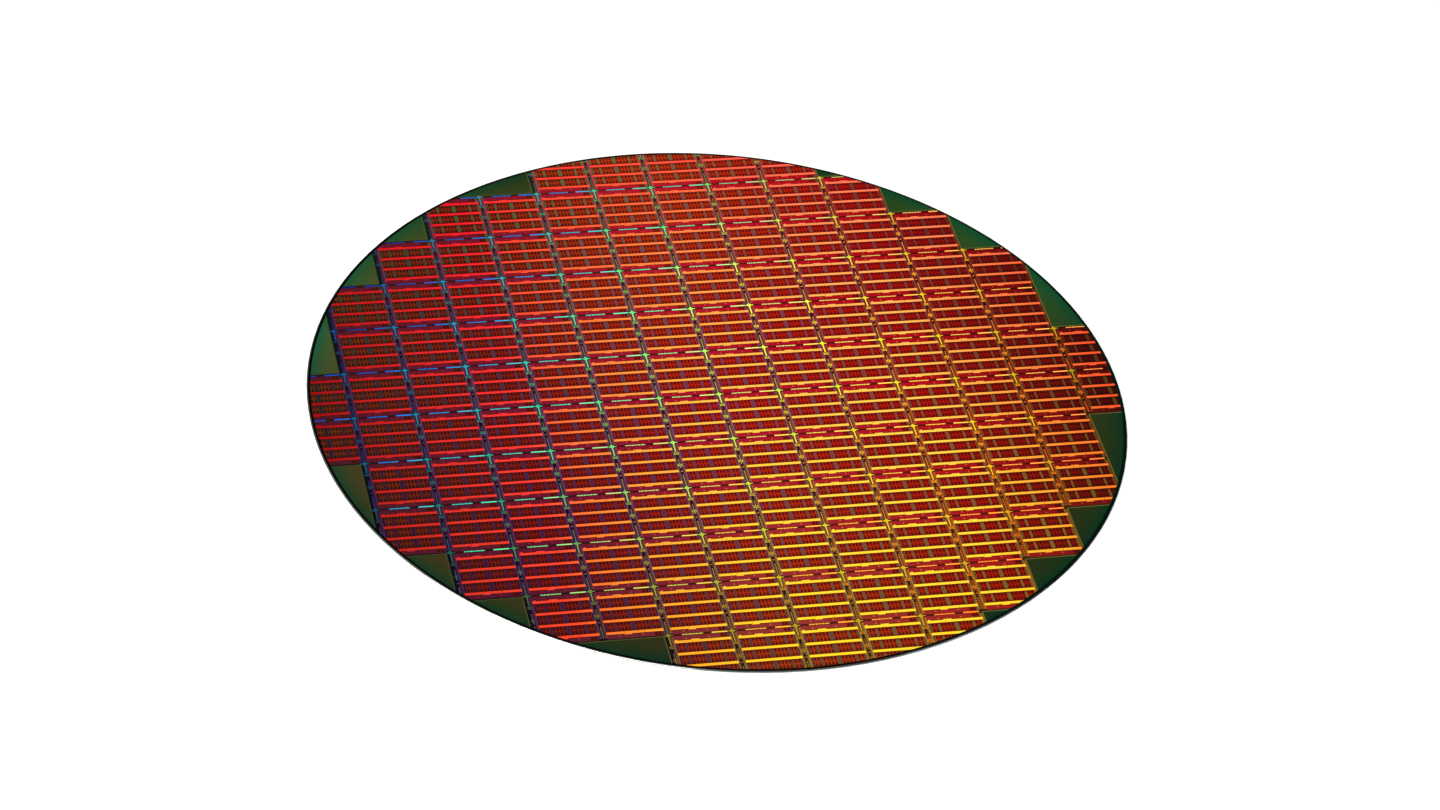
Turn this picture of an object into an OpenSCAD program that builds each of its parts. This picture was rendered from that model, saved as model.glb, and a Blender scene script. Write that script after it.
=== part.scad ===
// Silicon wafer: a notched round slice with a bevelled, rounded rim, carrying a stepped grid of
// printed fields that stand a film's thickness above the streets between them.
// Millimetres, +Z up out of the patterned face, +X along the rows of fields, notch toward -Y.
// Origin: middle of the back face.

/* [Slice] */
// diameter of the wafer over the rim
wafer_d = 300; // [200:1:450]
// thickness of the slice under the film
wafer_t = 0.775; // [0.6:0.005:1]

/* [Rim] */
// radius of the rounded nose of the rim
nose_r = 0.25; // [0.15:0.01:0.28]
// slope of the two rim bevels against the faces, degrees
bevel_angle = 22; // [18:1:30]

/* [Notch] */
// depth of the notch below the rim
notch_depth = 1; // [0.9:0.05:1.5]
// angle between the notch flanks, degrees
notch_angle = 90; // [80:1:100]
// radius at the bottom of the notch
notch_r = 0.9; // [0.5:0.05:1.2]
// height of the bevel round the notch
notch_bevel_h = 0.12; // [0.05:0.01:0.14]

/* [Fields] */
// field pitch along a row
pitch_x = 22.375; // [12:0.005:27]
// field pitch from row to row
pitch_y = 25.455; // [12:0.005:33]
// width of the streets that run along Y
street_x = 2; // [0.5:0.05:4]
// width of the streets that run along X
street_y = 0.85; // [0.4:0.05:3]
// height of the fields above the slice
film_t = 0.01; // [0.005:0.001:0.05]
// distance from the rim to the outer limit of the film, which trims the outer fields
edge_clear = 1.4; // [1:0.05:4]
// a field is printed only if its inner corner lies at least this far inside the rim
field_inset = 15.1; // [10:0.1:30]
// how far the printing limit is off the wafer's axis, toward +X
limit_shift = 0.3; // [-1:0.1:1]

/* [Hidden] */
// smoothness of the round stretches
round_fn = 360;
// steps along the arc of the rim nose
nose_steps = 10;
// how far a cutter runs past the stock
over = 1;
// wafer radius and half thickness
wafer_r = wafer_d / 2;
half_t = wafer_t / 2;
// axial height of the bevel and its width in the face, from the nose tangent
bevel_h = half_t - nose_r * cos(bevel_angle);
bevel_w = bevel_h / tan(bevel_angle) + nose_r * (1 - sin(bevel_angle));
// width of the notch bevel cutters at their lower end, below the face
notch_bevel_low = (notch_bevel_h + over) / tan(bevel_angle);
// centre of the arc at the bottom of the notch
notch_cy = -wafer_r + notch_depth - notch_r;
// half angle of the notch and how far out its flanks are drawn
notch_half = notch_angle / 2;
flank_l = notch_depth + notch_r + 2 * over;
// where a notch flank meets the arc
flank_x = notch_r * cos(notch_half);
flank_y = notch_cy + notch_r * sin(notch_half);
// size of one field
field_x = pitch_x - street_x;
field_y = pitch_y - street_y;
// radius that bounds the film, and the one that bounds the fields' inner corners
film_r = wafer_r - edge_clear;
corner_r = wafer_r - field_inset;
// most fields on either side of the wafer's middle
cols = ceil(wafer_r / pitch_x);
rows = ceil(wafer_r / pitch_y);
// colours of the slice
silicon = [0.16, 0.17, 0.18];

// half section of the slice: flat faces, bevels and the rounded nose
module slice_profile() {
    nose = [
        for (i = [0 : nose_steps])
            let (a = -90 + bevel_angle + (180 - 2 * bevel_angle) * i / nose_steps)
                [wafer_r - nose_r + nose_r * cos(a), half_t + nose_r * sin(a)]
    ];
    polygon(concat(
        [[0, 0], [wafer_r - bevel_w, 0]],
        nose,
        [[wafer_r - bevel_w, wafer_t], [0, wafer_t]]
    ));
}

// straight-walled part of the notch
module notch_cut() {
    translate([0, 0, -over]) linear_extrude(wafer_t + 2 * over) {
        polygon([
            [-flank_x, flank_y], [flank_x, flank_y],
            [flank_x + flank_l * sin(notch_half), flank_y - flank_l * cos(notch_half)],
            [-flank_x - flank_l * sin(notch_half), flank_y - flank_l * cos(notch_half)]
        ]);
        translate([0, notch_cy]) circle(r = notch_r, $fn = round_fn);
    }
}

// bevel along one notch flank at the back face: widest at the face, gone at the bevel height
module flank_bevel(side) {
    translate([side * flank_x, flank_y, 0])
        rotate([90, 0, side * notch_half])
            linear_extrude(flank_l)
                polygon([
                    [-side * notch_r / 2, -over], [side * notch_bevel_low, -over],
                    [0, notch_bevel_h], [-side * notch_r / 2, notch_bevel_h]
                ]);
}

// bevel round the whole notch at the back face
module notch_bevel() {
    for (side = [-1, 1]) flank_bevel(side);
    translate([0, notch_cy, -over])
        cylinder(h = notch_bevel_h + over, r1 = notch_r + notch_bevel_low, r2 = notch_r, $fn = round_fn);
}

// the bare slice with its notch
module slice() {
    difference() {
        rotate_extrude($fn = round_fn) slice_profile();
        notch_cut();
        notch_bevel();
        translate([0, 0, wafer_t]) mirror([0, 0, 1]) notch_bevel();
    }
}

// edge nearest the middle of the field that starts at a whole number of pitches
function inner_edge(start, pitch) = start < 0 ? (start + 1) * pitch : start * pitch;

// whether the field in a column and row is printed
function printed(col, row) =
    norm([inner_edge(col, pitch_x) - limit_shift, inner_edge(row, pitch_y)]) < corner_r;

// one field as a plain rectangle, half a street in from its lattice corner
module field(col, row) {
    translate([col * pitch_x + street_x / 2, row * pitch_y + street_y / 2])
        square([field_x, field_y]);
}

// every printed field, trimmed to the round limit of the film
module fields() {
    translate([0, 0, half_t]) linear_extrude(half_t + film_t) intersection() {
        circle(r = film_r, $fn = round_fn);
        for (row = [-rows : rows - 1])
            for (col = [-cols : cols - 1])
                if (printed(col, row)) field(col, row);
    }
}

// the wafer: slice and fields in one solid
module wafer() {
    color(silicon) union() {
        slice();
        fields();
    }
}

wafer();
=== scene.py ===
"""Builds the looks of a patterned 300 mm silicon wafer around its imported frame.

Each layer of the printed film is one piece: a single field is modelled, repeated over the lattice,
cleared where no field is printed, and trimmed to the round limit of the film.
"""

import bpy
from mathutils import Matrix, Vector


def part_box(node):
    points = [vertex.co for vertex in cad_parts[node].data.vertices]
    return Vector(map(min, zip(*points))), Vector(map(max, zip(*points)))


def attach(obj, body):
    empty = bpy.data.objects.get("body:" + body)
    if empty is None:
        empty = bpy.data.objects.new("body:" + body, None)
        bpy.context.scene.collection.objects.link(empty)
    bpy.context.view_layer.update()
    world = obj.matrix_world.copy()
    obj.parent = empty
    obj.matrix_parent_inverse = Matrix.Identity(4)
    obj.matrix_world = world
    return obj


bl_info = {
    "name": "Patterned Wafer",
    "version": (1, 0, 0),
    "blender": (4, 5, 0),
    "location": "View3D > Sidebar > Wafer",
    "description": "Models the printed film of a silicon wafer and sets up a studio for it",
    "category": "Add Mesh",
}

import math
import bpy
import numpy as np
from mathutils import Matrix, Vector

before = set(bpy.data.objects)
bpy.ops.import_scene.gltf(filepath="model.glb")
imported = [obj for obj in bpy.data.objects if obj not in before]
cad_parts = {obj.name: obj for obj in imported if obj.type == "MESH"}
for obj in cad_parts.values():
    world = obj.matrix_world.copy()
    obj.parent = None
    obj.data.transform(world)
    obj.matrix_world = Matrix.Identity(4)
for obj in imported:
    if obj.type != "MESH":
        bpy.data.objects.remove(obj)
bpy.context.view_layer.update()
WAFER_LOW, WAFER_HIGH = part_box("wafer")
WAFER_RADIUS = (WAFER_HIGH.x - WAFER_LOW.x) / 2
MM = 0.001
# sides of the round cutter that trims the film
RIM_SIDES = 360


# ---------------------------------------------------------------- settings

def shade(red, green, blue):
    """A colour given as it is seen, 0 to 255, in the linear values that sockets take."""
    return tuple(
        c / 255 / 12.92 if c <= 10 else ((c / 255 + 0.055) / 1.055) ** 2.4 for c in (red, green, blue)
    ) + (1.0,)


def tone(name, red, green, blue):
    """A colour that a user would change, on the usual 0 to 255 scale."""
    return bpy.props.FloatVectorProperty(
        name=name, description="Colour of the " + name.lower() + " of the wafer", subtype="COLOR",
        size=3, min=0, max=1, default=shade(red, green, blue)[:3])


class WaferLattice(bpy.types.PropertyGroup):
    """Where the fields lie on the wafer."""

    pitch_x: bpy.props.FloatProperty(
        name="Field pitch X", description="Pitch of the fields along a row",
        default=22.375 * MM, unit="LENGTH", precision=6)
    pitch_y: bpy.props.FloatProperty(
        name="Field pitch Y", description="Pitch of the rows of fields",
        default=25.455 * MM, unit="LENGTH", precision=6)
    film_inset: bpy.props.FloatProperty(
        name="Film inset", description="Bare ring between the rim and the film",
        default=1.4 * MM, unit="LENGTH", precision=6)
    field_inset: bpy.props.FloatProperty(
        name="Field inset", description="A field is printed if its inner corner is this far inside the rim",
        default=15.1 * MM, unit="LENGTH", precision=6)
    limit_shift: bpy.props.FloatProperty(
        name="Limit shift", description="How far the printing limit is off the axis, toward +X",
        default=0.3 * MM, unit="LENGTH", precision=6)


class FieldLayout(bpy.types.PropertyGroup):
    """Sizes inside one field, in millimetres from its upper left street crossing."""

    middle_x: bpy.props.FloatProperty(
        name="Middle", description="Where the middle of the circuit lies across the field, mm", default=11.4)
    half_width: bpy.props.FloatProperty(
        name="Half width", description="Half width of the circuit, mm", default=10.0)
    strap_first: bpy.props.FloatProperty(
        name="First strap", description="Middle of the upper power strap, mm", default=3.56)
    strap_pitch: bpy.props.FloatProperty(
        name="Strap pitch", description="Pitch of the power straps, mm", default=6.19)
    strap_width: bpy.props.FloatProperty(
        name="Strap width", description="Width of a power strap, mm", default=1.22)
    strap_count: bpy.props.IntProperty(
        name="Straps", description="Power straps in a field", default=4)
    bar_offset: bpy.props.FloatVectorProperty(
        name="Bar offsets", description="Middles of the logic bars right of the field's middle, mm",
        size=3, default=(0.0, 6.18, 9.4))
    bar_width: bpy.props.FloatVectorProperty(
        name="Bar widths", description="Widths of the same bars, mm", size=3, default=(1.35, 0.8, 0.65))
    band_half: bpy.props.FloatProperty(
        name="Half band", description="Half height of the cell bands between the straps, mm", default=2.2)
    bar_half: bpy.props.FloatProperty(
        name="Half bar", description="Half height of a logic bar, mm", default=1.95)


class FilmLayers(bpy.types.PropertyGroup):
    """Heights of the film's layers above the field tops."""

    sunk: bpy.props.FloatProperty(
        name="Sunk", description="How far a layer starts below the surface it lies on",
        default=0.003 * MM, unit="LENGTH", precision=7)
    step: bpy.props.FloatProperty(
        name="Step", description="Height of one film layer", default=0.002 * MM, unit="LENGTH", precision=7)
    field_step: bpy.props.FloatProperty(
        name="Field step", description="Height of the field tops above the streets",
        default=0.01 * MM, unit="LENGTH", precision=7)


class FilmColours(bpy.types.PropertyGroup):
    """Painted diffraction sheen of the most visible pieces, over their own colours, from the left edge of
    the wafer to the right one.
    """

    strap_left: tone("Power straps at the left edge", 100, 0, 10)
    strap_inner_left: tone("Power straps left of the middle", 165, 55, 35)
    strap_middle: tone("Power straps in the middle", 180, 200, 50)
    strap_inner_right: tone("Power straps right of the middle", 180, 225, 65)
    strap_right: tone("Power straps at the right edge", 170, 90, 30)
    cell_left: tone("Memory cells at the left edge", 125, 95, 30)
    cell_inner_left: tone("Memory cells left of the middle", 170, 75, 30)
    cell_middle: tone("Memory cells in the middle", 250, 120, 25)
    cell_inner_right: tone("Memory cells right of the middle", 240, 60, 5)
    cell_right: tone("Memory cells at the right edge", 80, 15, 0)
    bar_left: tone("Logic bars at the left edge", 85, 60, 110)
    bar_inner_left: tone("Logic bars left of the middle", 135, 140, 160)
    bar_middle: tone("Logic bars in the middle", 215, 225, 190)
    bar_inner_right: tone("Logic bars right of the middle", 245, 245, 150)
    bar_right: tone("Logic bars at the right edge", 165, 130, 40)


class CameraView(bpy.types.PropertyGroup):
    """Where the camera stands."""

    azimuth: bpy.props.FloatProperty(
        name="Azimuth", description="Direction of view, turned from +Y toward +X",
        default=math.radians(15.89), subtype="ANGLE")
    elevation: bpy.props.FloatProperty(
        name="Elevation", description="Angle by which the camera looks down",
        default=math.radians(38.72), subtype="ANGLE")
    roll: bpy.props.FloatProperty(
        name="Roll", description="Tilt of the camera about its line of sight",
        default=math.radians(6.23), subtype="ANGLE")
    distance: bpy.props.FloatProperty(
        name="Distance", description="From the camera to the point it looks at",
        default=1.668, unit="LENGTH")
    lens: bpy.props.FloatProperty(
        name="Lens", description="Focal length in millimetres", default=114.6)
    aim_x: bpy.props.FloatProperty(
        name="Aim X", description="Point looked at, along X", default=-0.9 * MM, unit="LENGTH", precision=4)
    aim_y: bpy.props.FloatProperty(
        name="Aim Y", description="Point looked at, along Y", default=-6.2 * MM, unit="LENGTH", precision=4)


def lattice():
    """The settings of the lattice of fields."""
    return bpy.context.scene.wafer_lattice


def layout():
    """The settings of a field's layout."""
    return bpy.context.scene.wafer_field


def layers():
    """The settings of the film's layers."""
    return bpy.context.scene.wafer_layers


# ---------------------------------------------------------------- modelling by operators

def select_only(*objects):
    """Deselects everything, then selects the objects and makes the first one active."""
    bpy.ops.object.select_all(action="DESELECT")
    for o in objects:
        o.select_set(True)
    bpy.context.view_layer.objects.active = objects[0]


def apply_modifier(obj, kind, **values):
    """Adds a modifier with its values set and applies it."""
    modifier = obj.modifiers.new(kind.lower(), kind)
    for name, value in values.items():
        setattr(modifier, name, value)
    select_only(obj)
    bpy.ops.object.modifier_apply(modifier=modifier.name)


def start_piece(name):
    """An empty mesh in edit mode, ready to take blocks; it's modelled in millimetres."""
    bpy.ops.object.select_all(action="DESELECT")
    bpy.ops.mesh.primitive_cube_add(size=1)
    obj = bpy.context.object
    obj.name = obj.data.name = name
    bpy.ops.object.mode_set(mode="EDIT")
    bpy.ops.mesh.select_mode(type="VERT")
    bpy.ops.mesh.select_all(action="SELECT")
    bpy.ops.mesh.delete(type="VERT")
    return obj


def field_point(x, y):
    """A field-layout point, right of and below the crossing, as a place on the lattice's first field."""
    la = lattice()
    return -columns() * la.pitch_x / MM + x, (1 - rows()) * la.pitch_y / MM - y


def block(x0, x1, y0, y1, base, top):
    """One flat block of film, from its sides in field layout and its two levels, all in millimetres."""
    ax, ay = field_point(x0, y1)
    bx, by = field_point(x1, y0)
    bpy.ops.mesh.primitive_cube_add(
        size=1, location=((ax + bx) / 2, (ay + by) / 2, (base + top) / 2),
        scale=(bx - ax, by - ay, top - base))


def disc(x, y, radius, base, top, sides=12):
    """One flat round pad of film."""
    px, py = field_point(x, y)
    bpy.ops.mesh.primitive_cylinder_add(
        vertices=sides, radius=radius, depth=top - base, location=(px, py, (base + top) / 2))


def round_corners(obj, radius, segments):
    """Bevels the upright edges of the blocks of a piece in edit mode."""
    bpy.ops.mesh.select_mode(type="EDGE")
    bpy.ops.mesh.select_all(action="DESELECT")
    bpy.ops.object.mode_set(mode="OBJECT")
    places = np.zeros(len(obj.data.vertices) * 3)
    obj.data.vertices.foreach_get("co", places)
    ends = np.zeros(len(obj.data.edges) * 2, int)
    obj.data.edges.foreach_get("vertices", ends)
    heights = places[2::3][ends.reshape(-1, 2)]
    level_within = 1e-4
    upright = np.abs(heights[:, 0] - heights[:, 1]) > level_within
    obj.data.edges.foreach_set("select", upright)
    bpy.ops.object.mode_set(mode="EDIT")
    bpy.ops.mesh.bevel(offset=radius, offset_type="OFFSET", segments=segments, affect="EDGES")


def columns():
    """Most fields on either side of the wafer's middle, along a row."""
    return math.ceil(WAFER_RADIUS / lattice().pitch_x)


def rows():
    """Most rows of fields on either side of the wafer's middle."""
    return math.ceil(WAFER_RADIUS / lattice().pitch_y)


def inner_edge(start, pitch):
    """Edge nearest the middle of the field that starts at a whole number of pitches."""
    return (start + 1) * pitch if start < 0 else start * pitch


def printed(col, row):
    """Whether the field in a column and row is printed."""
    la = lattice()
    x = inner_edge(col, la.pitch_x) - la.limit_shift
    y = inner_edge(row, la.pitch_y)
    return math.hypot(x, y) < WAFER_RADIUS - la.field_inset


def trim_to_film(obj):
    """Cuts a piece off at the round limit of the film."""
    top = WAFER_HIGH.z
    select_only(obj)
    bpy.ops.object.select_all(action="DESELECT")
    bpy.ops.mesh.primitive_cylinder_add(
        vertices=RIM_SIDES, radius=WAFER_RADIUS - lattice().film_inset, depth=top, location=(0, 0, top))
    cutter = bpy.context.object
    apply_modifier(obj, "BOOLEAN", operation="INTERSECT", object=cutter, solver="MANIFOLD")
    bpy.data.objects.remove(cutter)


def repeat_over_wafer(obj):
    """Repeats a finished field over the lattice and keeps the printed fields only."""
    la = lattice()
    bpy.ops.object.mode_set(mode="OBJECT")
    select_only(obj)
    obj.scale = (MM, MM, MM)
    bpy.ops.object.transform_apply(location=True, rotation=True, scale=True)
    across, up = 2 * columns(), 2 * rows()
    size = len(obj.data.vertices)
    apply_modifier(obj, "ARRAY", count=across, use_relative_offset=False,
                   use_constant_offset=True, constant_offset_displace=(la.pitch_x, 0, 0))
    apply_modifier(obj, "ARRAY", count=up, use_relative_offset=False,
                   use_constant_offset=True, constant_offset_displace=(0, la.pitch_y, 0))
    unwanted = [
        not printed(col, row)
        for row in range(-rows(), rows())
        for col in range(-columns(), columns())
    ]
    select_only(obj)
    bpy.ops.object.mode_set(mode="EDIT")
    bpy.ops.mesh.select_mode(type="VERT")
    bpy.ops.mesh.select_all(action="DESELECT")
    bpy.ops.object.mode_set(mode="OBJECT")
    obj.data.vertices.foreach_set("select", np.repeat(unwanted, size))
    bpy.ops.object.mode_set(mode="EDIT")
    bpy.ops.mesh.delete(type="VERT")
    bpy.ops.object.mode_set(mode="OBJECT")
    trim_to_film(obj)


def planar_map(obj):
    """Lays the piece's own map over the whole wafer, seen square from above."""
    mesh = obj.data
    while mesh.uv_layers:
        mesh.uv_layers.remove(mesh.uv_layers[0])
    uv = mesh.uv_layers.new(name="OFBake")
    co = np.zeros(len(mesh.vertices) * 3, np.float32)
    mesh.vertices.foreach_get("co", co)
    corner = np.zeros(len(mesh.loops), np.int32)
    mesh.loops.foreach_get("vertex_index", corner)
    flat = co.reshape(-1, 3)[corner, :2] / (2 * WAFER_RADIUS) + 0.5
    uv.data.foreach_set("uv", flat.astype(np.float32).ravel())


def hand_over(obj, material):
    """Finishes a film piece: map, material and body."""
    planar_map(obj)
    obj.data.materials.clear()
    obj.data.materials.append(material)
    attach(obj, "root")


# ---------------------------------------------------------------- finishes

# how metallic, rough and lacquered the film's parts are
GROUND_GLOSS = {"metallic": 0.0, "roughness": 0.3, "coat": 0.2}
CIRCUIT_GLOSS = {"metallic": 0.1, "roughness": 0.35, "coat": 0.1}
SEAM_GLOSS = {"metallic": 0.2, "roughness": 0.35, "coat": 0.1}
MARK_GLOSS = {"metallic": 0.2, "roughness": 0.3, "coat": 0.2}
STRAP_GLOSS = {"metallic": 0.25, "roughness": 0.35, "coat": 0.2}
PAD_GLOSS = {"metallic": 0.3, "roughness": 0.3, "coat": 0.2}


class Finish:
    """A material under construction: short names for the nodes that the film's finishes share."""

    def __init__(self, name):
        self.material = bpy.data.materials.new(name)
        self.material.use_nodes = True
        self.tree = self.material.node_tree
        self.surface = next(n for n in self.tree.nodes if n.type == "BSDF_PRINCIPLED")
        self.place = self.node("ShaderNodeTexCoord").outputs["Object"]

    def node(self, kind, **values):
        """Adds a node with its values set."""
        n = self.tree.nodes.new(kind)
        for name, value in values.items():
            setattr(n, name, value)
        return n

    def join(self, source, target):
        """Links an output to an input."""
        self.tree.links.new(source, target)

    def span(self, value, low, high, new_low=0.0, new_high=1.0):
        """Maps a value from one span onto another."""
        n = self.node("ShaderNodeMapRange")
        n.inputs["From Min"].default_value = low
        n.inputs["From Max"].default_value = high
        n.inputs["To Min"].default_value = new_low
        n.inputs["To Max"].default_value = new_high
        self.join(value, n.inputs["Value"])
        return n.outputs["Result"]

    def maths(self, operation, a, b=0.0):
        """The result of a sum on two values, each a number or an output."""
        n = self.node("ShaderNodeMath", operation=operation)
        for socket, value in zip(n.inputs, (a, b)):
            if isinstance(value, (int, float)):
                socket.default_value = value
            else:
                self.join(value, socket)
        return n.outputs[0]

    def ramp(self, factor, stops):
        """A gradient with its stops given as places and colours."""
        n = self.node("ShaderNodeValToRGB")
        n.color_ramp.interpolation = "LINEAR"
        elements = n.color_ramp.elements
        while len(elements) < len(stops):
            elements.new(0.5)
        for element, (place, colour) in zip(elements, stops):
            element.position = place
            element.color = colour
        self.join(factor, n.inputs["Fac"])
        return n.outputs["Color"]

    def along(self, angle):
        """How far across the wafer a point lies in a direction in the plane, 0 to 1."""
        a = math.radians(angle)
        n = self.node("ShaderNodeVectorMath", operation="DOT_PRODUCT")
        self.join(self.place, n.inputs[0])
        n.inputs[1].default_value = (math.cos(a) / (2 * WAFER_RADIUS), math.sin(a) / (2 * WAFER_RADIUS), 0)
        return self.maths("ADD", n.outputs["Value"], 0.5)

    def radius(self):
        """Distance from the axis as a share of the wafer's radius."""
        flat = self.node("ShaderNodeVectorMath", operation="MULTIPLY")
        self.join(self.place, flat.inputs[0])
        flat.inputs[1].default_value = (1 / WAFER_RADIUS, 1 / WAFER_RADIUS, 0)
        n = self.node("ShaderNodeVectorMath", operation="LENGTH")
        self.join(flat.outputs[0], n.inputs[0])
        return n.outputs["Value"]

    def height(self):
        """Height above the back, in metres."""
        n = self.node("ShaderNodeSeparateXYZ")
        self.join(self.place, n.inputs[0])
        return n.outputs["Z"]

    def mix(self, blend, factor, a, b):
        """Two colours blended by a factor."""
        n = self.node("ShaderNodeMix", data_type="RGBA", blend_type=blend)
        for socket, value in ((n.inputs[0], factor), (n.inputs[6], a), (n.inputs[7], b)):
            if isinstance(value, (int, float, tuple)):
                socket.default_value = value
            else:
                self.join(value, socket)
        return n.outputs[2]

    def lines(self, angle, pitch_mm, low, high):
        """Fine parallel lines as a grey factor between two values."""
        n = self.node("ShaderNodeVectorMath", operation="DOT_PRODUCT")
        a = math.radians(angle)
        self.join(self.place, n.inputs[0])
        n.inputs[1].default_value = (math.cos(a) / (pitch_mm * MM), math.sin(a) / (pitch_mm * MM), 0)
        half_wave = 0.5
        wave = self.maths("PINGPONG", n.outputs["Value"], half_wave)
        return self.span(wave, 0, half_wave, low, high)

    def cloud(self, size_mm, low, high):
        """Slow uneven patches as a grey factor between two values."""
        n = self.node("ShaderNodeTexNoise")
        n.inputs["Scale"].default_value = 1 / (size_mm * MM)
        n.inputs["Detail"].default_value = 3
        self.join(self.place, n.inputs["Vector"])
        return self.span(n.outputs["Fac"], 0.3, 0.7, low, high)

    def crossed(self, level, strength, *gradients):
        """The film's painted sheen: gradients fixed to the surface that cross, each tinting the others, at a
        level for each channel; over the film's own colours they paint the diffraction colours and the
        lighter and darker stretches that light and view spread over the wafer.
        """
        levels = (level,) * 3 if isinstance(level, (int, float)) else level
        colour = tuple(strength * k for k in levels) + (1.0,)
        for angle, stops in gradients:
            colour = self.mix("MULTIPLY", 1.0, colour, self.ramp(self.along(angle), stops))
        return colour

    def grey(self, colour, factor):
        """A colour dimmed by a grey factor."""
        return self.mix("MULTIPLY", 1.0, colour, factor)

    def set(self, colour, metallic, roughness, coat):
        """The finished material, with its colour and its even gloss set."""
        self.join(colour, self.surface.inputs["Base Color"])
        self.surface.inputs["Metallic"].default_value = metallic
        self.surface.inputs["Roughness"].default_value = roughness
        self.surface.inputs["Specular IOR Level"].default_value = 0.3
        self.surface.inputs["Coat Weight"].default_value = coat
        self.surface.inputs["Coat Roughness"].default_value = 0.05
        return self.material


def spread(*colours):
    """Even gradient stops from edge to edge of the wafer."""
    last = len(colours) - 1
    return [(i / last, shade(*c)) for i, c in enumerate(colours)]


def sweep(piece):
    """The five colours of a piece from the left edge of the wafer to the right one, as gradient stops."""
    chosen = bpy.context.scene.wafer_colours
    places = ("left", "inner_left", "middle", "inner_right", "right")
    last = len(places) - 1
    return [(i / last, (*getattr(chosen, piece + "_" + place), 1)) for i, place in enumerate(places)]


def strap_sheen(f, level):
    """Power straps under a painted diffraction sheen: crimson at the left, gold right of the middle, redder
    toward +Y.
    """
    return f.crossed(
        level, 2.65,
        (0, sweep("strap")),
        (90, spread((250, 255, 180), (250, 190, 240), (250, 75, 230))),
        (135, spread((245, 160, 160), (250, 215, 250), (250, 200, 190))))


def cell_sheen(f, level):
    """Memory cells under a painted diffraction sheen: brown at the left, orange in the middle, dark red at
    the right.
    """
    return f.crossed(
        level, 0.25,
        (0, sweep("cell")),
        (90, spread((220, 240, 230), (250, 200, 220), (250, 200, 170))),
        (135, spread((250, 180, 230), (250, 115, 250), (250, 220, 230))))


def bar_sheen(f, level):
    """Logic bars under a painted diffraction sheen: dull violet at the left, pale green in the middle, olive
    at the right.
    """
    return f.crossed(
        level, 0.17,
        (15, sweep("bar")),
        (135, spread((230, 210, 130), (235, 170, 190), (235, 130, 245), (235, 175, 215), (150, 255, 150))))


def periphery_sheen(f, level):
    """Circuits along the field edges under a painted diffraction sheen: purple brown, then orange, then dark
    red.
    """
    return f.crossed(
        level, 0.52,
        (0, spread((85, 65, 50), (140, 80, 65), (230, 105, 65), (235, 50, 35), (80, 20, 0))),
        (90, spread((200, 255, 240), (250, 150, 230), (245, 85, 200))),
        (135, spread((240, 190, 240), (225, 100, 220), (250, 210, 250))))


def mark_sheen(f, level):
    """Fine rulings in the streets under a painted diffraction sheen: a rainbow from red at -Y to blue at the
    left.
    """
    return f.crossed(
        level, 1.9,
        (150, spread((255, 110, 40), (255, 195, 80), (240, 220, 80), (200, 240, 130),
                     (80, 250, 200), (10, 130, 255), (10, 15, 170))),
        (45, spread((150, 225, 220), (250, 210, 200), (255, 240, 240), (230, 210, 250))),
        (90, spread((255, 200, 160), (240, 230, 230), (250, 210, 180))))


def target_sheen(f, level):
    """Alignment targets under a painted diffraction sheen: a duller rainbow from amber to slate."""
    return f.crossed(
        level, 2.9,
        (150, spread((140, 60, 15), (230, 135, 20), (245, 160, 25), (215, 180, 65),
                     (90, 165, 105), (50, 110, 130), (25, 30, 90))),
        (45, spread((20, 30, 60), (170, 220, 255), (250, 255, 220), (150, 170, 190))),
        (90, spread((240, 225, 220), (170, 230, 220), (250, 240, 230))))


def line_sheen(f, level):
    """Lines along the streets under a painted diffraction sheen: navy at the left, grey, then rust at the
    right.
    """
    return f.crossed(
        level, 1.8,
        (0, spread((10, 20, 95), (40, 70, 75), (115, 105, 50), (200, 95, 35), (255, 55, 25))),
        (90, spread((255, 190, 150), (180, 255, 245), (135, 255, 255))),
        (135, spread((120, 140, 160), (255, 235, 225), (120, 120, 140))))


def flank_sheen(f, level):
    """Flanks of the streets under a painted diffraction sheen: plum at the left, sand in the middle, brown
    at the right.
    """
    return f.crossed(
        level, 0.9,
        (0, spread((65, 30, 80), (145, 80, 100), (215, 155, 95), (225, 125, 45), (100, 40, 0))),
        (90, spread((195, 250, 150), (245, 250, 235), (255, 150, 230))),
        (135, spread((255, 220, 190), (190, 120, 250), (250, 230, 200))))


def film_sheen(f, radius):
    """The blank film: green toward the rim and olive toward the fields, under painted shade and sheen that
    leave it brightest near the middle and darker toward +X, -Y and +Y.
    """
    near_rim = f.span(radius, 0.9, 1.0)
    inward = f.ramp(near_rim, spread((75, 115, 50), (60, 125, 55), (0, 135, 75)))
    # painted shade and sheen: the crossing gradients darken the film toward +X, -Y and +Y
    return f.mix("MULTIPLY", 1.0, inward, f.crossed(
        1.0, 1.0,
        (0, spread((240, 130, 180), (200, 250, 255), (150, 110, 140))),
        (90, spread((170, 75, 100), (225, 170, 150), (245, 255, 230), (190, 60, 80)))))


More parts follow.
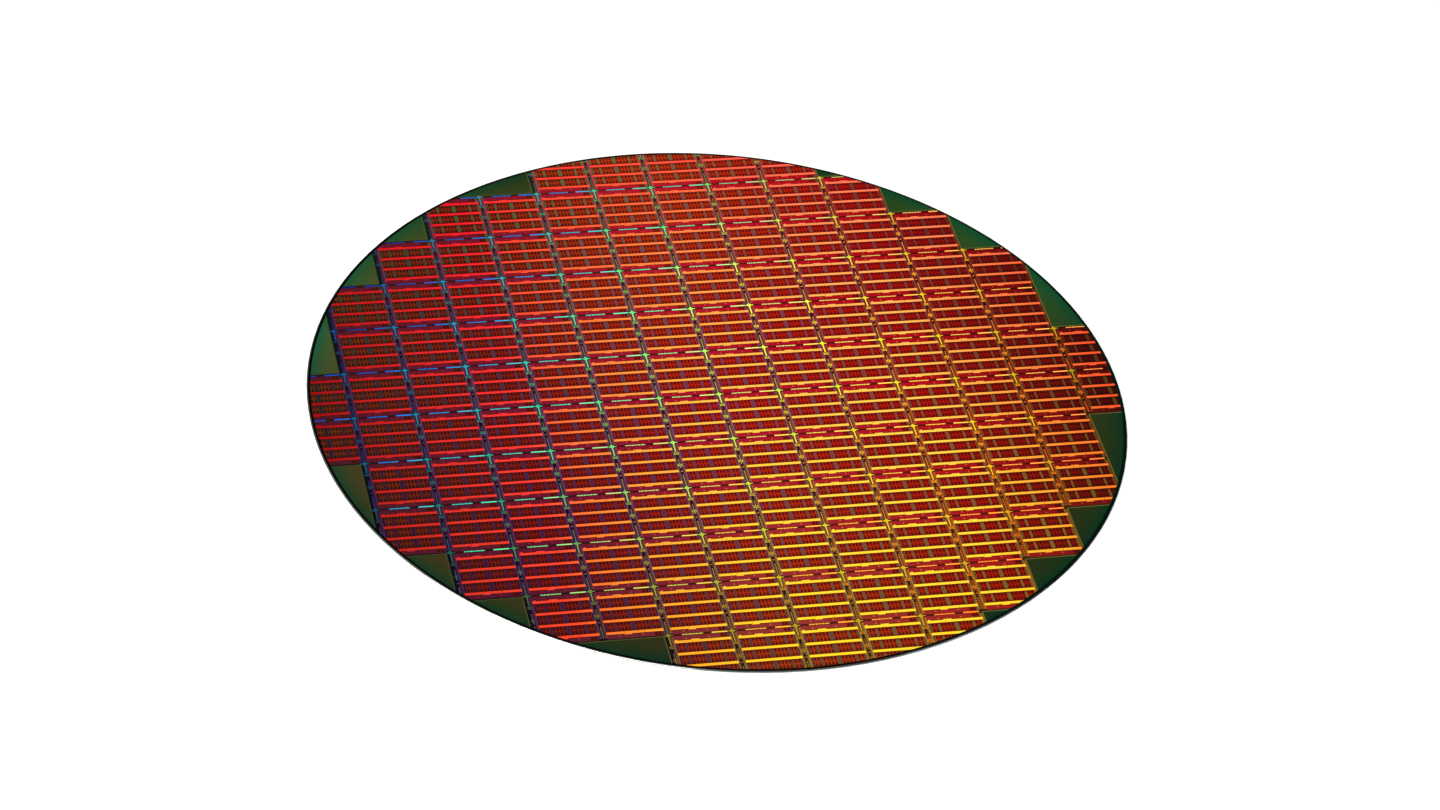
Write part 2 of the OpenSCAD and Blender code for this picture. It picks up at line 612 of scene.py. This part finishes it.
def rim_painted_reflections(f, radius):
    """Bare polished silicon with painted reflections: the bare ring is painted near black as a painted dark
    reflection, greener toward +X, and round the rounded nose lies a painted glint, pale toward -X and -Y and
    dark toward +X and +Y.
    """
    nose_width = 0.5 * MM
    on_nose = f.maths("GREATER_THAN", radius, (WAFER_RADIUS - nose_width) / WAFER_RADIUS)
    # painted glint: a pale highlight round the nose toward -X and -Y, fading to dark toward +X and +Y
    painted_glint = f.ramp(f.along(215), spread(
        (45, 48, 52), (30, 42, 48), (60, 70, 75), (150, 152, 150), (185, 188, 180)))
    # painted dark reflection: the bare ring painted near black, greener toward +X
    ring = f.ramp(f.along(0), spread(
        (4, 4, 5), (6, 8, 8), (8, 16, 12), (6, 45, 28), (4, 62, 38)))
    return f.mix("MIX", on_nose, ring, painted_glint)


def back_finish(f):
    """The ground back: satin grey with fine parallel grinding lines."""
    grinding = f.maths("MULTIPLY", f.lines(35, 0.9, 0.92, 1.06), f.cloud(12, 0.94, 1.05))
    return f.grey(shade(135, 138, 142), grinding)


def slice_finish():
    """The whole slice: rim, blank film, the ground of the fields, and the back."""
    f = Finish("polished_silicon")
    radius = f.radius()
    height = f.height()
    film_edge = (WAFER_RADIUS - lattice().film_inset) / WAFER_RADIUS
    inside_film = f.maths("LESS_THAN", radius, film_edge)
    on_front = f.maths("GREATER_THAN", height, WAFER_HIGH.z - layers().field_step * 1.1)
    on_film = f.maths("MULTIPLY", inside_film, on_front)
    on_field = f.maths("GREATER_THAN", height, WAFER_HIGH.z - layers().field_step * 0.5)
    back_skin = 0.01 * MM
    on_back = f.maths("LESS_THAN", height, back_skin)

    film = f.grey(film_sheen(f, radius), f.cloud(9, 0.95, 1.04))
    colour = f.mix("MIX", on_film, rim_painted_reflections(f, radius), film)
    colour = f.mix("MIX", on_field, colour, cell_sheen(f, 0.35))
    colour = f.mix("MIX", on_back, colour, back_finish(f))
    material = f.set(colour, **GROUND_GLOSS)

    bare_metal = 0.9
    covered = f.maths("MAXIMUM", on_film, on_back)
    metal = f.maths("SUBTRACT", bare_metal, f.maths("MULTIPLY", covered, bare_metal))
    f.join(metal, f.surface.inputs["Metallic"])
    polish = 0.12
    ground_more = 0.35
    rough = f.maths("ADD", polish, f.maths("MULTIPLY", on_back, ground_more))
    f.join(rough, f.surface.inputs["Roughness"])
    return material


def finish_film(obj, sheen, level, gloss, ruling=None):
    """Gives a film piece its sheen, with fine ruled lines where asked for, and hands it over."""
    f = Finish(obj.name)
    colour = sheen(f, level)
    if ruling:
        colour = f.grey(colour, f.lines(*ruling))
    hand_over(obj, f.set(colour, **gloss))


# ---------------------------------------------------------------- places in a field

def field_level(steps):
    """Level of a film layer above the field tops, in millimetres."""
    return (WAFER_HIGH.z + steps * layers().step) / MM


def field_base():
    """Level where the film on a field starts, sunk a little into the field, in millimetres."""
    return (WAFER_HIGH.z - layers().sunk) / MM


def street_level(steps):
    """Level of a film layer above the streets, in millimetres."""
    return (WAFER_HIGH.z - layers().field_step + steps * layers().step) / MM


def street_base():
    """Level where the film in a street starts, sunk a little into the slice, in millimetres."""
    return (WAFER_HIGH.z - layers().field_step - layers().sunk) / MM


def strap_middles():
    """Middles of the power straps, from the upper one to the lower one."""
    fl = layout()
    return [fl.strap_first + i * fl.strap_pitch for i in range(fl.strap_count)]


def band_middles():
    """Middles of the cell bands between the straps."""
    fl = layout()
    return [y + fl.strap_pitch / 2 for y in strap_middles()[:-1]]


def bars():
    """Middle and width of every logic bar, left to right."""
    fl = layout()
    right = list(zip(fl.bar_offset, fl.bar_width))
    return [(-offset, width) for offset, width in reversed(right[1:])] + right


def cell_blocks():
    """Left side, right side and columns of every cell block between two bars."""
    narrow = 3
    sides = []
    found = bars()
    for (a, wa), (b, wb) in zip(found, found[1:]):
        left = layout().middle_x + a + wa / 2
        right = layout().middle_x + b - wb / 2
        sides.append((left, right, 2 if right - left < narrow else 4))
    return sides


def cell_places():
    """Middle and pitch of every cell along a band."""
    places = []
    for left, right, count in cell_blocks():
        pitch = (right - left) / count
        places += [(left + (i + 0.5) * pitch, pitch) for i in range(count)]
    return places


def stitches(gap):
    """From and to of the short blocks in a row along a field's side, with a gap at both ends of each."""
    end_margin = 0.95
    count = 18
    step = (lattice().pitch_y / MM - 2 * end_margin) / count
    return [(end_margin + i * step + gap, end_margin + (i + 1) * step - gap) for i in range(count)]


# ---------------------------------------------------------------- pieces

class WAFER_OT_slice(bpy.types.Operator):
    """Give the slice its polished silicon, blank film and field ground"""
    bl_idname = "wafer.slice"
    bl_label = "Slice"

    def execute(self, context):
        material = slice_finish()
        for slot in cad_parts["wafer"].material_slots:
            slot.material = material
        return {"FINISHED"}


def carpet_strip(row, grow, low, top):
    """One slab under a row of printed fields, or nothing where the row has none."""
    la = lattice()
    printed_columns = [c for c in range(-columns(), columns()) if printed(c, row)]
    if not printed_columns:
        return None
    left_margin, right_margin = 1.35 * MM, -0.5 * MM
    upper_margin, lower_margin = 0.75 * MM, 0.1 * MM
    x0 = printed_columns[0] * la.pitch_x - left_margin - grow
    x1 = (printed_columns[-1] + 1) * la.pitch_x + right_margin + grow
    y0 = row * la.pitch_y - lower_margin - grow
    y1 = (row + 1) * la.pitch_y + upper_margin + grow
    bpy.ops.object.select_all(action="DESELECT")
    bpy.ops.mesh.primitive_cube_add(
        size=1, location=((x0 + x1) / 2, (y0 + y1) / 2, (low + top) / 2),
        scale=(x1 - x0, y1 - y0, top - low))
    bpy.ops.object.transform_apply(location=True, rotation=True, scale=True)
    return bpy.context.object


def field_carpet(name, grow, top):
    """One slab under all printed fields and their streets, grown on every side, up to a level."""
    low = WAFER_HIGH.z - layers().field_step - layers().sunk
    whole = None
    for row in range(-rows(), rows()):
        strip = carpet_strip(row, grow, low, top)
        if whole is None:
            whole = strip
        elif strip is not None:
            apply_modifier(whole, "BOOLEAN", operation="UNION", object=strip, solver="MANIFOLD")
            bpy.data.objects.remove(strip)
    whole.name = whole.data.name = name
    trim_to_film(whole)
    return whole


class WAFER_OT_street_ground(bpy.types.Operator):
    """Model the dark ground that the printed fields and their streets share, and its pale border"""
    bl_idname = "wafer.street_ground"
    bl_label = "Street ground"

    def execute(self, context):
        street = WAFER_HIGH.z - layers().field_step
        ground = field_carpet("street_ground", 0, street + layers().step)
        f = Finish("street_ground")
        colour = f.grey(bar_sheen(f, 0.12), f.cloud(1.2, 0.7, 1.2))
        hand_over(ground, f.set(colour, **GROUND_GLOSS))

        border_width = 0.35 * MM
        border = field_carpet("street_border", border_width, street + layers().step / 3)
        f = Finish("street_border")
        colour = f.ramp(f.along(0), spread((38, 48, 30), (84, 82, 36), (96, 88, 34)))
        hand_over(border, f.set(colour, **GROUND_GLOSS))
        return {"FINISHED"}


def cell_ground():
    """The ground under the cells: one plate for each block, and two at the right of the field."""
    half = layout().band_half
    base, top = field_base(), field_level(1)
    ground = start_piece("cell_ground")
    for y in band_middles():
        for left, right, _ in cell_blocks():
            block(left, right, y - half, y + half, base, top)
    for near, far in ((0.55, 2.6), (22.95, 25.0)):
        block(18.0, 20.3, near, far, base, top)
    repeat_over_wafer(ground)
    finish_film(ground, cell_sheen, (1.5, 1.9, 1.7), CIRCUIT_GLOSS, (0, 0.155, 0.85, 1.15))


def outer_cells(name, side, corner_middle):
    """The outer row of cells of each band: the upper one for side -1, the lower one for side 1."""
    base, top = field_base(), field_level(2)
    share = 0.36
    cells = start_piece(name)
    for y in band_middles():
        near, far = sorted((y + side * 0.95, y + side * 2.15))
        for x, pitch in cell_places():
            block(x - share * pitch, x + share * pitch, near, far, base, top)
    half_wide, half_high = 0.45, 0.88
    for x in (18.6, 19.7):
        block(x - half_wide, x + half_wide, corner_middle - half_high, corner_middle + half_high, base, top)
    round_corners(cells, 0.22, 1)
    repeat_over_wafer(cells)
    finish_film(cells, cell_sheen, (0.4, 0.2, 0.3), CIRCUIT_GLOSS, (90, 0.31, 0.8, 1.2))


def cell_taps():
    """The short pads between the outer cells and the seam of each band."""
    base, top = field_base(), field_level(2)
    share = 0.3
    near, far = 0.22, 0.9
    taps = start_piece("cell_taps")
    for y in band_middles():
        for x, pitch in cell_places():
            block(x - share * pitch, x + share * pitch, y - far, y - near, base, top)
            block(x - share * pitch, x + share * pitch, y + near, y + far, base, top)
    repeat_over_wafer(taps)
    finish_film(taps, cell_sheen, (0.8, 0.55, 0.6), CIRCUIT_GLOSS)


def cell_seams():
    """The thin seams along each band, and two upright ones in the upper band."""
    base, top = field_base(), field_level(3)
    half = 0.13
    end_gap = 0.12
    seams = start_piece("cell_seams")
    for y in band_middles():
        for left, right, _ in cell_blocks():
            block(left + end_gap, right - end_gap, y - half, y + half, base, top)
    y = band_middles()[0]
    for left, right, _ in cell_blocks()[1:3]:
        x = (left + right) / 2
        block(x - half, x + half, y + 0.2, y + 2.1, base, top)
    repeat_over_wafer(seams)
    finish_film(seams, cell_sheen, 2.2, SEAM_GLOSS)


class WAFER_OT_cells(bpy.types.Operator):
    """Model the cell blocks, their columns of cells and the seams between them"""
    bl_idname = "wafer.cells"
    bl_label = "Memory cells"

    def execute(self, context):
        cell_ground()
        outer_cells("cells_upper", -1, 1.58)
        outer_cells("cells_lower", 1, 23.98)
        cell_taps()
        cell_seams()
        return {"FINISHED"}


class WAFER_OT_straps(bpy.types.Operator):
    """Model the power straps that cross every field"""
    bl_idname = "wafer.straps"
    bl_label = "Power straps"

    def execute(self, context):
        fl = layout()
        base, top = field_base(), field_level(5)
        left, right = fl.middle_x - fl.half_width, fl.middle_x + fl.half_width
        half = fl.strap_width / 2
        slit = 0.06
        splits = (8.0, 14.6)
        straps = start_piece("power_straps")
        for i, y in enumerate(strap_middles()):
            outermost = i in (0, fl.strap_count - 1)
            ends = [left, *splits, right] if outermost else [left, right]
            for a, b in zip(ends, ends[1:]):
                block(a + slit, b - slit, y - half, y + half, base, top)
        self.add_tabs(strap_middles()[0] - half, strap_middles()[-1] + half)
        repeat_over_wafer(straps)
        finish_film(straps, strap_sheen, 1.0, STRAP_GLOSS, (90, 0.2, 0.9, 1.08))
        return {"FINISHED"}

    def add_tabs(self, upper, lower):
        """Tabs on the outer sides of the first and the last strap."""
        base, top = field_base(), field_level(4.5)
        overlap = 0.1
        block(1.9, 2.7, upper - 0.45, upper + overlap, base, top)
        block(7.4, 10.3, upper - 0.4, upper + overlap, base, top)
        block(7.7, 10.3, lower - overlap, lower + 0.4, base, top)


class WAFER_OT_bars(bpy.types.Operator):
    """Model the upright logic bars between the cell blocks"""
    bl_idname = "wafer.bars"
    bl_label = "Logic bars"

    def execute(self, context):
        fl = layout()
        base, top = field_base(), field_level(4)
        pieces = start_piece("logic_bars")
        for y in band_middles():
            for offset, width in bars():
                x = fl.middle_x + offset
                block(x - width / 2, x + width / 2, y - fl.bar_half, y + fl.bar_half, base, top)
        for near, far in ((0.6, 2.6), (22.95, 24.9)):
            block(20.4, 21.3, near, far, base, top)
        round_corners(pieces, 0.4, 2)
        repeat_over_wafer(pieces)
        finish_film(pieces, bar_sheen, 1.15, MARK_GLOSS, (90, 0.4, 0.85, 1.15))
        return {"FINISHED"}


def edge_circuits():
    """The circuits along the upper and lower edge of a field, each in three parts."""
    base, top = field_base(), field_level(1)
    bands = start_piece("edge_circuits")
    for near, far in ((0.5, 2.72), (23.0, 25.0)):
        for left, right in ((1.55, 6.9), (7.0, 12.4), (12.5, 17.85)):
            block(left, right, near, far, base, top)
    repeat_over_wafer(bands)
    finish_film(bands, periphery_sheen, 1.05, CIRCUIT_GLOSS, (90, 0.5, 0.85, 1.15))


def edge_cells():
    """Short rows of small cells along the inner side of the edge circuits."""
    base, top = field_base(), field_level(2)
    pitch, width = 1.15, 0.6
    teeth = start_piece("edge_cells")
    for start, count in ((2.9, 4), (10.6, 3)):
        for i in range(count):
            x = start + i * pitch
            for near, far in ((2.25, 2.6), (23.1, 23.45)):
                block(x, x + width, near, far, base, top)
    repeat_over_wafer(teeth)
    finish_film(teeth, cell_sheen, 1.3, CIRCUIT_GLOSS)


def probe_pads():
    """Four round pads where probes touch a field."""
    base, top = field_base(), field_level(3)
    dots = start_piece("probe_pads")
    for y in (1.9, 23.65):
        for x in (5.8, 13.9):
            disc(x, y, 0.22, base, top)
    repeat_over_wafer(dots)
    finish_film(dots, strap_sheen, (0.65, 0.45, 0.45), PAD_GLOSS)


class WAFER_OT_periphery(bpy.types.Operator):
    """Model the circuits along the upper and lower edge of every field"""
    bl_idname = "wafer.periphery"
    bl_label = "Edge circuits"

    def execute(self, context):
        edge_circuits()
        edge_cells()
        probe_pads()
        return {"FINISHED"}


def seal_lines():
    """The stitched seal just inside both sides of a field, with every other stitch a little wider."""
    base, top = street_base(), field_level(0.5)
    width = lattice().pitch_x / MM
    inner, outer, wider = 0.98, 1.5, 0.12
    seal = start_piece("seal_lines")
    for i, (near, far) in enumerate(stitches(0.07)):
        out = outer + wider * (i % 2)
        block(inner, out, near, far, base, top)
        block(width - out, width - inner, near, far, base, top)
    repeat_over_wafer(seal)
    finish_film(seal, flank_sheen, 0.95, CIRCUIT_GLOSS)


def street_flanks():
    """The stitched flanks on both sides of a street, next to the seal."""
    base, top = street_base(), street_level(2)
    width = lattice().pitch_x / MM
    flanks = start_piece("street_flanks")
    for near, far in stitches(0.1):
        block(0.45, 0.93, near, far, base, top)
        block(width - 0.93, width - 0.55, near, far, base, top)
    repeat_over_wafer(flanks)
    finish_film(flanks, flank_sheen, 0.65, CIRCUIT_GLOSS)


def street_patches():
    """Two groups of four small square patches round the middle of a street."""
    base, top = street_base(), street_level(3)
    patches = start_piece("street_patches")
    for y in (6.2, 12.8):
        for side in (-1, 1):
            left, right = sorted((side * 0.3, side * 0.85))
            block(left, right, y - 0.6, y - 0.1, base, top)
            block(left, right, y + 0.1, y + 0.6, base, top)
    repeat_over_wafer(patches)
    finish_film(patches, target_sheen, (0.9, 0.6, 0.3), CIRCUIT_GLOSS)


def street_breaks():
    """Dark blocks in groups of three that break the street along a row of fields."""
    base, top = street_base(), street_level(2)
    pitch, length, half = 0.87, 0.75, 0.26
    gaps = start_piece("street_breaks")
    for start in (2.15, 12.5):
        for i in range(3):
            x = start + i * pitch
            block(x, x + length, -half, half, base, top)
    repeat_over_wafer(gaps)
    finish_film(gaps, cell_sheen, 0.45, CIRCUIT_GLOSS)


def street_marks():
    """Test marks along a row of fields: twelve short ones of uneven length, then one long bar."""
    base, top = street_base(), street_level(2)
    marks = start_piece("street_marks")
    x = 4.85
    for i in range(12):
        length = 0.36 + 0.14 * (i * 5 % 3)
        half = 0.26 - 0.06 * (i % 2)
        block(x, x + length, -half, half, base, top)
        x += length + 0.12
    block(15.2, 20.85, -0.28, 0.28, base, top)
    round_corners(marks, 0.08, 1)
    repeat_over_wafer(marks)
    finish_film(marks, mark_sheen, 1.0, MARK_GLOSS)


def street_lines():
    """Four straight lines and a dot along the middle of an upright street."""
    base, top = street_base(), street_level(2)
    lines = start_piece("street_lines")
    for half, near, far in ((0.2, 5.45, 6.9), (0.13, 9.2, 11.2), (0.22, 11.4, 14.4), (0.17, 18.1, 24.4)):
        block(-half, half, near, far, base, top)
    round_corners(lines, 0.1, 1)
    disc(0, 16.2, 0.33, base, top)
    repeat_over_wafer(lines)
    finish_film(lines, line_sheen, 2.0, MARK_GLOSS)


def street_targets():
    """The alignment target on each street crossing: a cross with a long leg and a round plate."""
    base, top = street_base(), street_level(2)
    targets = start_piece("street_targets")
    block(-1.7, 1.7, -0.18, 0.18, base, top)
    block(-0.25, 0.25, -1.0, 1.1, base, top)
    block(-0.24, 0.24, 1.1, 5.2, base, top)
    round_corners(targets, 0.1, 1)
    disc(0, 0, 0.85, base, street_level(2.5), 16)
    repeat_over_wafer(targets)
    finish_film(targets, target_sheen, 1.0, MARK_GLOSS)


def target_disc(name, radius, steps, sides, level):
    """A round plate on the middle of each alignment target."""
    plate = start_piece(name)
    disc(0, 0, radius, street_base(), street_level(steps), sides)
    repeat_over_wafer(plate)
    finish_film(plate, target_sheen, level, MARK_GLOSS)


class WAFER_OT_streets(bpy.types.Operator):
    """Model the seal lines, test structures and targets in the streets"""
    bl_idname = "wafer.streets"
    bl_label = "Streets"

    def execute(self, context):
        seal_lines()
        street_flanks()
        street_patches()
        street_breaks()
        street_marks()
        street_lines()
        street_targets()
        target_disc("target_rings", radius=0.5, steps=3.5, sides=12, level=0.45)
        target_disc("target_centres", radius=0.36, steps=4.5, sides=8, level=1.0)
        return {"FINISHED"}


# ---------------------------------------------------------------- stage

class WAFER_OT_stage(bpy.types.Operator):
    """Lay the floor, set the lights and place the camera"""
    bl_idname = "wafer.stage"
    bl_label = "Stage"

    def execute(self, context):
        self.lay_floor()
        self.add_sun("key", direction=(-0.45, -0.4, 0.8), strength=4.2, softness=40)
        self.add_area("left_box", place=(-1.1, -0.5, 0.7), size=0.9, power=12)
        self.add_area("right_box", place=(1.2, -0.6, 0.8), size=0.9, power=8)
        self.light_world(context.scene)
        self.set_camera(context.scene)
        return {"FINISHED"}

    def lay_floor(self):
        """A wide pale floor just under the wafer."""
        floor_size = 60
        gap = 0.01 * MM
        bpy.ops.object.select_all(action="DESELECT")
        bpy.ops.mesh.primitive_plane_add(size=floor_size, location=(0, 0, WAFER_LOW.z - gap))
        floor = bpy.context.object
        floor.name = floor.data.name = "floor"
        bpy.ops.object.transform_apply(location=True, rotation=True, scale=True)
        f = Finish("pale_floor")
        f.surface.inputs["Base Color"].default_value = (0.86, 0.86, 0.86, 1)
        f.surface.inputs["Roughness"].default_value = 0.9
        f.surface.inputs["Specular IOR Level"].default_value = 0.1
        floor.data.materials.append(f.material)

    def light_world(self, scene):
        """A world that lights the wafer dimly and still looks nearly white to the camera."""
        dim = (0.05, 0.05, 0.05, 1)
        pale = (0.95, 0.95, 0.95, 1)
        world = bpy.data.worlds.new("studio")
        world.use_nodes = True
        tree = world.node_tree
        back = tree.nodes["Background"]
        path = tree.nodes.new("ShaderNodeLightPath")
        mix = tree.nodes.new("ShaderNodeMix")
        mix.data_type = "RGBA"
        mix.inputs[6].default_value = dim
        mix.inputs[7].default_value = pale
        tree.links.new(path.outputs["Is Camera Ray"], mix.inputs[0])
        tree.links.new(mix.outputs[2], back.inputs["Color"])
        scene.world = world
        scene.view_settings.view_transform = "Standard"

    def set_camera(self, scene):
        """Adds the camera and makes it the scene's own."""
        data = bpy.data.cameras.new("camera")
        data.lens = scene.wafer_view.lens
        data.sensor_width = 36
        data.clip_start = 0.05
        camera = bpy.data.objects.new("camera", data)
        scene.collection.objects.link(camera)
        camera.matrix_world = self.camera_place(scene.wafer_view)
        scene.camera = camera

    def camera_place(self, view):
        """Where the camera stands and how it is turned: it looks at a point on the patterned face."""
        around = Vector((math.sin(view.azimuth), math.cos(view.azimuth), 0))
        forward = around * math.cos(view.elevation) - Vector((0, 0, math.sin(view.elevation)))
        level = Vector((math.cos(view.azimuth), -math.sin(view.azimuth), 0))
        upright = level.cross(forward)
        right = level * math.cos(view.roll) + upright * math.sin(view.roll)
        upward = upright * math.cos(view.roll) - level * math.sin(view.roll)
        aim = Vector((view.aim_x, view.aim_y, WAFER_HIGH.z - layers().field_step))
        turn = Matrix((right, upward, -forward)).transposed().to_4x4()
        return Matrix.Translation(aim - forward * view.distance) @ turn

    def add_sun(self, name, direction, strength, softness):
        """A soft sun that shines from a direction; its softness is an angle in degrees."""
        bpy.ops.object.light_add(type="SUN", location=Vector(direction) * 2)
        light = bpy.context.object
        light.name = name
        light.data.energy = strength
        light.data.angle = math.radians(softness)
        light.rotation_euler = Vector(direction).to_track_quat("Z", "Y").to_euler()

    def add_area(self, name, place, size, power):
        """A square light that faces the wafer's middle."""
        bpy.ops.object.light_add(type="AREA", location=place)
        light = bpy.context.object
        light.name = name
        light.data.shape = "SQUARE"
        light.data.size = size
        light.data.energy = power
        light.rotation_euler = Vector(place).to_track_quat("Z", "Y").to_euler()


class WAFER_PT_panel(bpy.types.Panel):
    """Sizes and steps of the wafer"""
    bl_label = "Wafer"
    bl_idname = "WAFER_PT_panel"
    bl_space_type = "VIEW_3D"
    bl_region_type = "UI"
    bl_category = "Wafer"

    def draw(self, context):
        column = self.layout.column()
        for group in (context.scene.wafer_lattice, context.scene.wafer_field,
                      context.scene.wafer_layers, context.scene.wafer_colours,
                      context.scene.wafer_view):
            for name in group.__annotations__:
                column.prop(group, name)
        for operator in OPERATORS:
            column.operator(operator.bl_idname)


OPERATORS = (WAFER_OT_slice, WAFER_OT_street_ground, WAFER_OT_cells, WAFER_OT_straps, WAFER_OT_bars,
             WAFER_OT_periphery, WAFER_OT_streets, WAFER_OT_stage)
CLASSES = (WaferLattice, FieldLayout, FilmLayers, FilmColours, CameraView, *OPERATORS, WAFER_PT_panel)


def register():
    """Adds the settings, operators and panel."""
    for cls in CLASSES:
        bpy.utils.register_class(cls)
    bpy.types.Scene.wafer_lattice = bpy.props.PointerProperty(type=WaferLattice)
    bpy.types.Scene.wafer_field = bpy.props.PointerProperty(type=FieldLayout)
    bpy.types.Scene.wafer_layers = bpy.props.PointerProperty(type=FilmLayers)
    bpy.types.Scene.wafer_colours = bpy.props.PointerProperty(type=FilmColours)
    bpy.types.Scene.wafer_view = bpy.props.PointerProperty(type=CameraView)


def unregister():
    """Takes them away again."""
    del bpy.types.Scene.wafer_view
    del bpy.types.Scene.wafer_colours
    del bpy.types.Scene.wafer_layers
    del bpy.types.Scene.wafer_field
    del bpy.types.Scene.wafer_lattice
    for cls in reversed(CLASSES):
        bpy.utils.unregister_class(cls)


def main():
    """Models everything in order."""
    register()
    bpy.ops.wafer.slice()
    bpy.ops.wafer.street_ground()
    bpy.ops.wafer.cells()
    bpy.ops.wafer.straps()
    bpy.ops.wafer.bars()
    bpy.ops.wafer.periphery()
    bpy.ops.wafer.streets()
    bpy.ops.wafer.stage()


if __name__ == "__main__":
    main()
